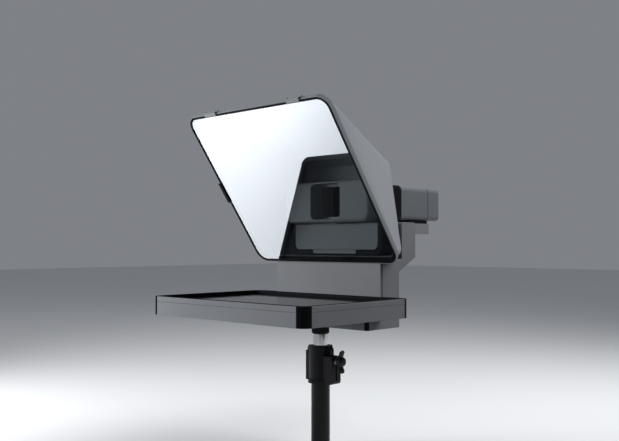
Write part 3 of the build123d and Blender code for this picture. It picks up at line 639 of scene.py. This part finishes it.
def chip_tree():
    """Small black packages and chip parts spread over a board, some places left empty."""
    tree, given, leave = new_tree("board_parts", [
        ("Board X", "Float", 0.1), ("Board Y", "Float", 0.05), ("Columns", "Int", 12), ("Rows", "Int", 6),
        ("Part", "Float", 0.004), ("Seed", "Int", 7), ("Finish", "Material", None),
    ])
    grid = node(
        tree, "GeometryNodeMeshGrid", Size_X=given["Board X"], Size_Y=given["Board Y"],
        Vertices_X=given["Columns"], Vertices_Y=given["Rows"])
    kept = random_value(tree, "BOOLEAN", given["Seed"], chance=0.62)
    scale = random_value(tree, "FLOAT_VECTOR", given["Seed"], (0.35, 0.3, 0.12), (1.0, 0.9, 0.25))
    part = node(tree, "ShaderNodeCombineXYZ", X=given["Part"], Y=given["Part"], Z=given["Part"])
    brick = node(tree, "GeometryNodeMeshCube", Size=part.outputs["Vector"])
    half = sum_of(tree, "MULTIPLY", given["Part"], 0.5)
    rise = node(tree, "ShaderNodeCombineXYZ", Z=half)
    stood = node(
        tree, "GeometryNodeTransform", Geometry=brick.outputs["Mesh"], Translation=rise.outputs["Vector"])
    parts = node(
        tree, "GeometryNodeInstanceOnPoints", Points=grid.outputs["Mesh"], Selection=kept,
        Instance=stood.outputs["Geometry"], Scale=scale)
    finish_tree(tree, parts.outputs["Instances"], given["Finish"], leave)
    return tree


def board_parts():
    """Chips on the outer face of each circuit board: its name, board, body, turn, grid and part size."""
    tree = chip_tree()
    jobs = (
        ("display_chips", "display_board", "head", (0, 0, 0), (16, 8), 4.0 * MM),
        ("control_chips", "control_board", "head", (math.pi / 2, 0, 0), (4, 7), 2.6 * MM),
        ("sensor_chips", "sensor_board", "camera", (-math.pi / 2, 0, 0), (7, 7), 2.6 * MM),
    )
    for name, board, body, turn, count, part in jobs:
        low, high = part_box(board)
        middle = (low + high) / 2
        size = high - low
        if turn[0] == 0:
            board_x, board_y, at = size.x, size.y, (middle.x, middle.y, high.z)
        elif turn[0] > 0:
            board_x, board_y, at = size.x, size.z, (middle.x, low.y, middle.z)
        else:
            board_x, board_y, at = size.x, size.z, (middle.x, high.y, middle.z)
        piece = grow(name, tree, {
            "Board X": board_x - 2 * part, "Board Y": board_y - 2 * part, "Columns": count[0],
            "Rows": count[1], "Part": part, "Finish": FINISHES["guide_plastic"]})
        placed(piece, turn, at)
        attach(piece, body)


# ---- hood and mirror ----

def hood_tree():
    """A tube of wall faces drawn from the leaning front outline to the upright, narrower rear outline."""
    tree, given, leave = new_tree("hood", [
        ("Front Width", "Float", 0.2), ("Front Length", "Float", 0.19), ("Front Corner", "Float", 0.013),
        ("Front Foot", "Vector", (0, 0, 0)), ("Front Turn", "Vector", (0, 0, 0)),
        ("Rear Low Width", "Float", 0.15), ("Rear High Width", "Float", 0.12),
        ("Rear Height", "Float", 0.1), ("Rear Corner", "Float", 0.009),
        ("Rear Foot", "Vector", (0, 0, 0)), ("Rear Turn", "Vector", (0, 0, 0)),
        ("Corner Steps", "Int", 12), ("Wall Steps", "Int", 4), ("Finish", "Material", None),
    ])
    front = tree.nodes.new("GeometryNodeCurvePrimitiveQuadrilateral")
    front.mode = "RECTANGLE"
    tree.links.new(given["Front Width"], front.inputs["Width"])
    tree.links.new(given["Front Length"], front.inputs["Height"])
    rear = tree.nodes.new("GeometryNodeCurvePrimitiveQuadrilateral")
    rear.mode = "TRAPEZOID"
    rear.inputs["Offset"].default_value = 0.0
    tree.links.new(given["Rear Low Width"], rear.inputs["Bottom Width"])
    tree.links.new(given["Rear High Width"], rear.inputs["Top Width"])
    tree.links.new(given["Rear Height"], rear.inputs["Height"])
    outlines = []
    for shape, end, length in ((front, "Front", given["Front Length"]), (rear, "Rear", given["Rear Height"])):
        corner = node(
            tree, "GeometryNodeFilletCurve", Curve=shape.outputs["Curve"], Radius=given[end + " Corner"])
        corner.mode = "POLY"
        tree.links.new(given["Corner Steps"], corner.inputs["Count"])
        lift = node(tree, "ShaderNodeCombineXYZ", Y=sum_of(tree, "MULTIPLY", length, 0.5))
        stood = node(
            tree, "GeometryNodeTransform", Geometry=corner.outputs["Curve"],
            Translation=lift.outputs["Vector"])
        turned = node(
            tree, "GeometryNodeTransform", Geometry=stood.outputs["Geometry"],
            Translation=given[end + " Foot"], Rotation=given[end + " Turn"])
        outlines.append(turned.outputs["Geometry"])
    count = tree.nodes.new("GeometryNodeAttributeDomainSize")
    count.component = "CURVE"
    tree.links.new(outlines[0], count.inputs["Geometry"])
    round_count = sum_of(tree, "ADD", count.outputs["Point Count"], 1)
    rows = sum_of(tree, "ADD", given["Wall Steps"], 1)
    sheet = node(
        tree, "GeometryNodeMeshGrid", Size_X=1.0, Size_Y=1.0, Vertices_X=round_count, Vertices_Y=rows)
    index = tree.nodes.new("GeometryNodeInputIndex").outputs["Index"]
    round_step = sum_of(tree, "FLOOR", sum_of(tree, "DIVIDE", index, rows), 0)
    round_step = sum_of(tree, "MODULO", round_step, count.outputs["Point Count"])
    share = sum_of(tree, "DIVIDE", sum_of(tree, "MODULO", index, rows), given["Wall Steps"])
    place = tree.nodes.new("GeometryNodeInputPosition").outputs["Position"]
    ends = []
    for outline in outlines:
        pick = tree.nodes.new("GeometryNodeSampleIndex")
        pick.data_type = "FLOAT_VECTOR"
        pick.domain = "POINT"
        tree.links.new(outline, pick.inputs["Geometry"])
        tree.links.new(place, pick.inputs["Value"])
        tree.links.new(round_step, pick.inputs["Index"])
        ends.append(pick.outputs["Value"])
    between = tree.nodes.new("ShaderNodeMix")
    between.data_type = "VECTOR"
    tree.links.new(share, between.inputs["Factor"])
    vectors = [socket for socket in between.inputs if socket.type == "VECTOR" and socket.enabled]
    tree.links.new(ends[0], vectors[-2])
    tree.links.new(ends[1], vectors[-1])
    blended = next(socket for socket in between.outputs if socket.enabled)
    drawn = node(tree, "GeometryNodeSetPosition", Geometry=sheet.outputs["Mesh"], Position=blended)
    closed = node(tree, "GeometryNodeMergeByDistance", Geometry=drawn.outputs["Geometry"], Distance=0.00001)
    smooth = node(tree, "GeometryNodeSetShadeSmooth", Geometry=closed.outputs["Geometry"])
    finish_tree(tree, smooth.outputs["Geometry"], given["Finish"], leave)
    return tree


def hood_walls(seed):
    """Gives the hood its wall, with the lining on its inner side, and evens its shading."""
    wall = seed.modifiers.new("wall", "SOLIDIFY")
    wall.thickness = HOOD_WALL
    wall.offset = 1
    wall.use_even_offset = True
    wall.material_offset = 1
    wall.material_offset_rim = 0
    seed.data.materials.append(FINISHES["grey_hood"])
    seed.data.materials.append(FINISHES["hood_lining"])
    even = seed.modifiers.new("even", "WEIGHTED_NORMAL")
    even.keep_sharp = True


def hood():
    """The tapered hood, from the mirror's frame back to the lens housing."""
    low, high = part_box("hood_shell")
    length = (high.z - low.z) / math.sin(LEAN)
    piece = grow("hood", hood_tree(), {
        "Front Width": high.x - low.x, "Front Length": length, "Front Corner": HOOD_FRONT_CORNER,
        "Front Foot": (0, low.y + length * math.cos(LEAN), low.z), "Front Turn": (math.pi - LEAN, 0, 0),
        "Rear Low Width": HOOD_REAR_LOW, "Rear High Width": HOOD_REAR_HIGH,
        "Rear Height": HOOD_REAR_TOP - HOOD_REAR_FOOT, "Rear Corner": HOOD_REAR_CORNER,
        "Rear Foot": (0, high.y, HOOD_REAR_FOOT), "Rear Turn": (math.pi / 2, 0, 0),
        "Finish": FINISHES["grey_hood"],
    }, hood_walls)
    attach(piece, "head")
    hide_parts("hood_shell")


def rounded_outline(width, length, corner, steps=14):
    """Points round a rounded rectangle, with its lower edge's middle at the origin."""
    points = []
    spots = ((1, 0, -90), (1, 1, 0), (-1, 1, 90), (-1, 0, 180))
    for side, upper, start in spots:
        cx = side * (width / 2 - corner)
        cy = length - corner if upper else corner
        for step in range(steps + 1):
            turn = math.radians(start + 90 * step / steps)
            points.append((cx + corner * math.cos(turn), cy + corner * math.sin(turn)))
    return points


def on_slope(u, v, w, foot):
    """A point in the mirror's plane: u across, v up the slope, w out to the reader."""
    return (
        u + foot.x,
        foot.y - v * math.cos(LEAN) - w * math.sin(LEAN),
        foot.z + v * math.sin(LEAN) - w * math.cos(LEAN),
    )


def mirror_pane():
    """The part-silvered pane: coated on the reader's side, clear at the back, with ground edges."""
    low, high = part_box("beam_splitter_glass")
    length = (high.z - low.z - PANE_THICK * math.cos(LEAN)) / math.sin(LEAN)
    foot = Vector((0, high.y - PANE_THICK * math.sin(LEAN), low.z))
    width = high.x - low.x
    shape = bmesh.new()
    rings = []
    steps = ((PANE_ARRIS, 0), (0, -PANE_ARRIS), (0, PANE_ARRIS - PANE_THICK), (PANE_ARRIS, -PANE_THICK))
    for inset, w in steps:
        outline = rounded_outline(width - 2 * inset, length - 2 * inset, PANE_CORNER - inset)
        rings.append([shape.verts.new(on_slope(u, v + inset, w, foot)) for u, v in outline])
    for first, second in zip(rings, rings[1:]):
        for i in range(len(first)):
            j = (i + 1) % len(first)
            shape.faces.new((first[i], first[j], second[j], second[i])).material_index = 1
    shape.faces.new(rings[0]).material_index = 0
    shape.faces.new(rings[-1]).material_index = 1
    bmesh.ops.recalc_face_normals(shape, faces=shape.faces)
    mesh = bpy.data.meshes.new("mirror_pane")
    shape.to_mesh(mesh)
    shape.free()
    mesh.materials.append(FINISHES["mirror_glass"])
    mesh.materials.append(FINISHES["pane_edge"])
    pane = bpy.data.objects.new("mirror_pane", mesh)
    bpy.context.scene.collection.objects.link(pane)
    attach(pane, "head")
    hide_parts("beam_splitter_glass")


# ---- wing knob ----

def ring_of(shape, x, centre_y, centre_z, half_y, half_z, count=20):
    """A rounded loop of points across the X axis."""
    loop = []
    for i in range(count):
        turn = 2 * math.pi * i / count
        c, s = math.cos(turn), math.sin(turn)
        y = centre_y + half_y * math.copysign(abs(c) ** 0.8, c)
        z = centre_z + half_z * math.copysign(abs(s) ** 0.8, s)
        loop.append(shape.verts.new((x, y, z)))
    return loop


def skin(shape, loops):
    """Faces between the loops, closed at both ends."""
    for first, second in zip(loops, loops[1:]):
        for i in range(len(first)):
            j = (i + 1) % len(first)
            shape.faces.new((first[i], first[j], second[j], second[i]))
    shape.faces.new(loops[0])
    shape.faces.new(loops[-1])


def wing_knob():
    """The clamp's wing knob: a turned hub with two dished paddles that lean outwards."""
    low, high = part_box("wing_knob")
    middle = (low.z + high.z) / 2
    reach = (high.z - low.z) / 2
    hub_r = (high.y - low.y) / 2
    shape = bmesh.new()
    # the hub's outline: share of its length, share of its radius
    hub = ((0, 0.90), (0.05, 0.98), (0.35, 1.0), (0.62, 0.92), (0.86, 0.74), (0.97, 0.58), (1.0, 0.45))
    span = high.x - low.x
    skin(shape, [ring_of(shape, low.x + t * span, 0, middle, r * hub_r, r * hub_r, 28) for t, r in hub])
    # each paddle section, as shares: out to the tip, along the hub, half width, half thickness
    paddle = (
        (0.20, 0.32, 0.42, 0.20), (0.34, 0.33, 0.50, 0.21), (0.52, 0.40, 0.62, 0.20),
        (0.70, 0.50, 0.70, 0.19), (0.85, 0.58, 0.66, 0.18), (0.95, 0.62, 0.46, 0.14),
        (0.995, 0.64, 0.22, 0.07),
    )
    for side in (-1, 1):
        loops = []
        for out, along, half_y, half_x in paddle:
            loop = ring_of(shape, 0, 0, 0, half_y * hub_r, half_x * span)
            for point in loop:
                across = point.co.z
                point.co = (low.x + along * span + across, point.co.y, middle + side * out * reach)
            loops.append(loop)
        skin(shape, loops)
    bmesh.ops.recalc_face_normals(shape, faces=shape.faces)
    for face in shape.faces:
        face.smooth = True
    mesh = bpy.data.meshes.new("clamp_wing_knob")
    shape.to_mesh(mesh)
    shape.free()
    mesh.materials.append(FINISHES["knob_black"])
    knob = bpy.data.objects.new("clamp_wing_knob", mesh)
    bpy.context.scene.collection.objects.link(knob)
    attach(knob, "clamp")
    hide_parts("wing_knob")


# ---- stage ----

def soft_light(name, place, aim, width, height, power):
    """A soft white panel light at a place, turned to face its aim."""
    lamp = bpy.data.lights.new(name, "AREA")
    lamp.shape = "RECTANGLE"
    lamp.size = width
    lamp.size_y = height
    lamp.energy = power
    panel = bpy.data.objects.new(name, lamp)
    panel.location = place
    panel.rotation_euler = (Vector(aim) - Vector(place)).to_track_quat("-Z", "Y").to_euler()
    bpy.context.scene.collection.objects.link(panel)
    panel.visible_camera = False
    panel.visible_glossy = False


def dark_card(name, place, aim, width, height):
    """A black card, not seen by the camera, that darkens the faces turned towards it."""
    across, up = width / 2, height / 2
    card = bpy.data.meshes.new(name)
    corners = [(-across, -up, 0), (across, -up, 0), (across, up, 0), (-across, up, 0)]
    card.from_pydata(corners, [], [(0, 1, 2, 3)])
    turn = (Vector(aim) - Vector(place)).to_track_quat("-Z", "Y").to_matrix().to_4x4()
    card.transform(Matrix.Translation(place) @ turn)
    flag = bpy.data.objects.new(name, card)
    bpy.context.scene.collection.objects.link(flag)
    cloth, nodes, links, shader = new_finish(name + "_cloth")
    weave = noise(nodes, links, 900, 2)
    links.new(two_tone(nodes, links, weave, (0.004, 0.004, 0.004), 0.2), shader.inputs["Base Color"])
    shader.inputs["Roughness"].default_value = 1.0
    shader.inputs["Specular IOR Level"].default_value = 0.0
    card.materials.append(cloth)
    flag.visible_camera = False


def pale_floor():
    """A wide pale sheet that the stand's tube stands on. It throws no light back on the object."""
    half = 6.0
    mesh = bpy.data.meshes.new("floor")
    corners = [(-half, -half, 0), (half, -half, 0), (half, half, 0), (-half, half, 0)]
    mesh.from_pydata(corners, [], [(0, 1, 2, 3)])
    floor = bpy.data.objects.new("floor", mesh)
    bpy.context.scene.collection.objects.link(floor)
    paper, nodes, links, shader = new_finish("floor_paper")
    cloud = noise(nodes, links, 2, 2)
    links.new(two_tone(nodes, links, cloud, (0.78, 0.79, 0.80), 0.01), shader.inputs["Base Color"])
    shader.inputs["Roughness"].default_value = 0.9
    mesh.materials.append(paper)
    floor.visible_diffuse = False


def studio():
    """A dim cool surround, three panels, and two black cards in front of the object and at its right."""
    world = bpy.data.worlds.new("studio")
    world.use_nodes = True
    surround = world.node_tree.nodes["Background"]
    surround.inputs["Color"].default_value = (0.88, 0.92, 1.0, 1)
    surround.inputs["Strength"].default_value = 0.24
    bpy.context.scene.world = world
    bpy.context.scene.view_settings.view_transform = "Standard"
    soft_light("left_panel", (-0.62, -0.55, 0.30), (0, -0.05, 0.55), 0.4, 0.3, 9.5)
    soft_light("right_panel", (0.38, 0.48, 0.85), (0, 0, 0.25), 0.5, 0.5, 8.3)
    soft_light("top_panel", (-0.9, -0.3, 1.6), (-0.5, -0.2, 0), 1.1, 1.1, 3)
    dark_card("front_card", (0.70, -0.76, 0.32), (0, 0, 0.32), 1.6, 0.64)
    dark_card("side_card", (0.95, -0.1, 0.2), (0, -0.1, 0.12), 1.6, 0.6)


def view_camera():
    """The camera: in front of the object and to its right, about level with the mirror's lower edge."""
    lens = bpy.data.cameras.new("camera")
    lens.sensor_width = 36
    lens.lens = 46.48
    lens.clip_start = 0.01
    eye = bpy.data.objects.new("camera", lens)
    eye.location = (0.58305, -0.63267, 0.21335)
    eye.rotation_euler = (math.radians(91.72), 0, math.radians(43.45))
    bpy.context.scene.collection.objects.link(eye)
    bpy.context.scene.camera = eye


dress_cad_nodes()
hood()
mirror_pane()
wing_knob()
all_screws()
knurled_rims()
coils_and_threads()
board_parts()
pale_floor()
studio()
view_camera()
